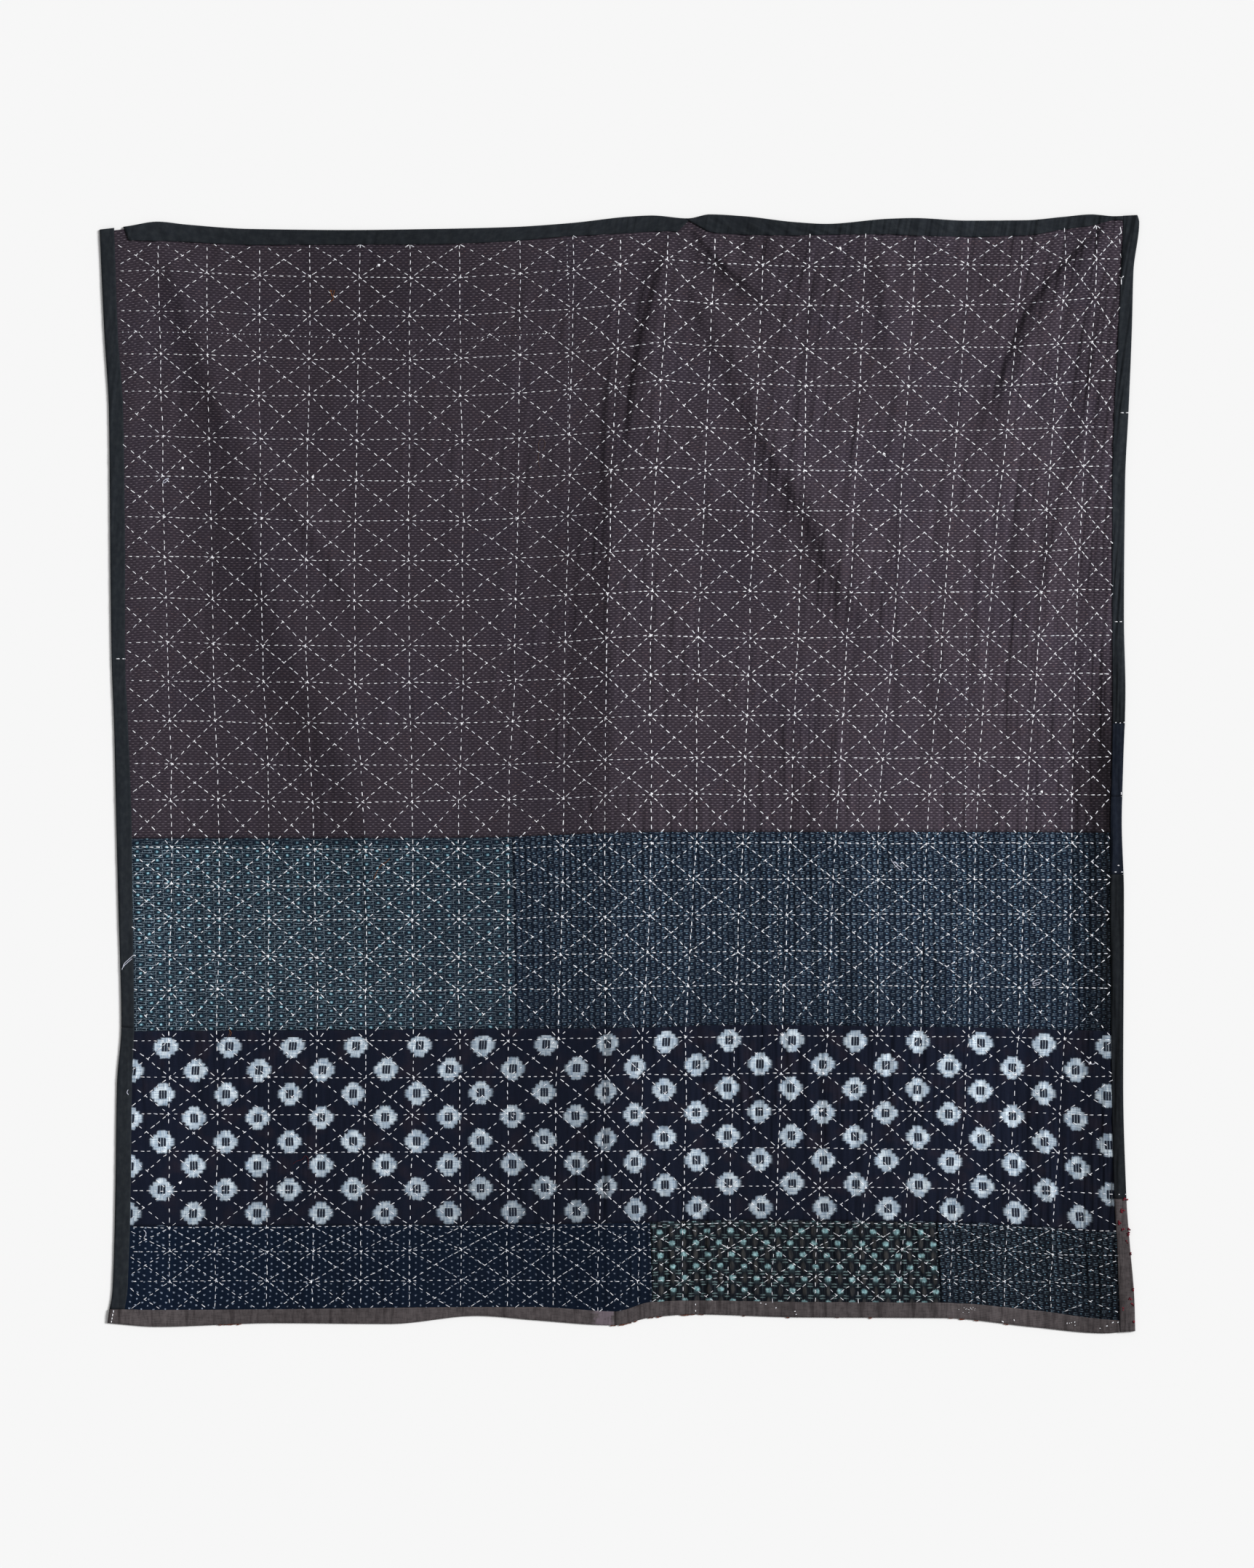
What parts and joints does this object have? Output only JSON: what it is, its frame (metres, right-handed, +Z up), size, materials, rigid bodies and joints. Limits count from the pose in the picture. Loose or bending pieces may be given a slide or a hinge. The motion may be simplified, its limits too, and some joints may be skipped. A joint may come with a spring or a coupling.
{
  "type": "stitched patchwork blanket",
  "caption": "Rectangular patchwork blanket of seamed cotton panels with a folded binding round its edge, lying flat with soft folds.",
  "frame": {"origin": "bottom centre of the blanket's box, on the surface that it lies on", "axes": "+X across the width to the observer's right, +Y from the foot of the blanket to its head, +Z up through the cloth"},
  "size_m": [1.429, 1.538, 0.0141],
  "materials": {
    "plum_cotton": "plain weave cotton with short pale dashes, quilted with white running stitches",
    "teal_lattice_cotton": "ikat cotton, dark ground with a fine pale teal lattice",
    "blue_lattice_cotton": "ikat cotton, navy ground with a fine slate blue lattice",
    "spotted_cotton": "ikat cotton, navy ground with pale feathered spots",
    "navy_dotted_cotton": "navy cotton with small pale dots",
    "coarse_teal_cotton": "coarse ikat cotton with teal squares and brown ovals",
    "binding_black": "matte plain weave cotton strip, greenish black",
    "binding_navy": "matte plain weave cotton strip, navy",
    "binding_umber": "worn plain weave cotton strip, brown grey, frayed at its edge"
  },
  "bodies": {
    "root": {"panel_plum": "plum_cotton", "panel_lattice_teal": "teal_lattice_cotton", "panel_lattice_blue": "blue_lattice_cotton", "panel_spotted": "spotted_cotton", "panel_foot_navy": "navy_dotted_cotton", "panel_foot_teal": "coarse_teal_cotton", "panel_foot_blue": "blue_lattice_cotton", "binding_head_west": "binding_black", "binding_head_east": "binding_black", "binding_west_upper": "binding_black", "binding_west_lower": "binding_black", "binding_east_1": "binding_black", "binding_east_2": "binding_navy", "binding_east_3": "binding_navy", "binding_east_4": "binding_black", "binding_east_5": "binding_umber", "binding_foot_west": "binding_umber", "binding_foot_east": "binding_umber"}
  },
  "joints": []
}
